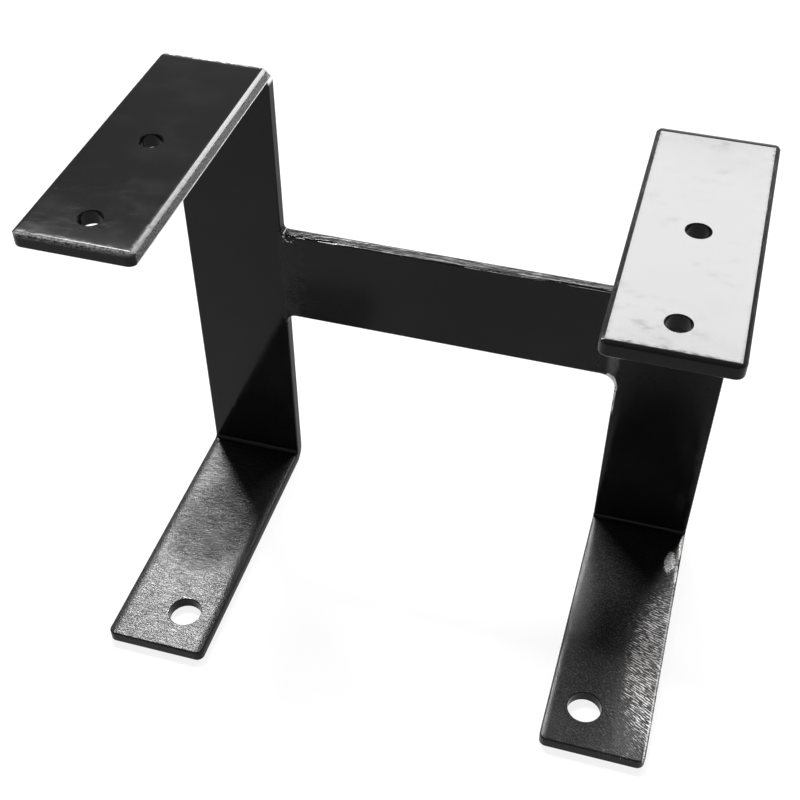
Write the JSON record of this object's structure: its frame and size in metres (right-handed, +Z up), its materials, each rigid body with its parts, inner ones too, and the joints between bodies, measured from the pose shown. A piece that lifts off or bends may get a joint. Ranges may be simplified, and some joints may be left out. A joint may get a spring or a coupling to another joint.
{
  "type": "bumper mount bracket",
  "caption": "Black painted steel bumper bracket: C-shaped flat bar straps joined by a welded cross bar, drilled in their upper flanges and feet.",
  "frame": {"origin": "on the ground under the feet, in the middle of the outline seen from above", "axes": "+X from the left strap to the right strap, +Y from the free ends of the feet and flanges towards the uprights, +Z up"},
  "size_m": [0.2744, 0.1544, 0.248],
  "materials": {
    "black_paint": "gloss black paint over mill-finish steel"
  },
  "bodies": {
    "root": {"left_strap": "black_paint", "right_strap": "black_paint", "cross_bar": "black_paint", "left_weld": "black_paint", "right_weld": "black_paint"}
  },
  "joints": []
}
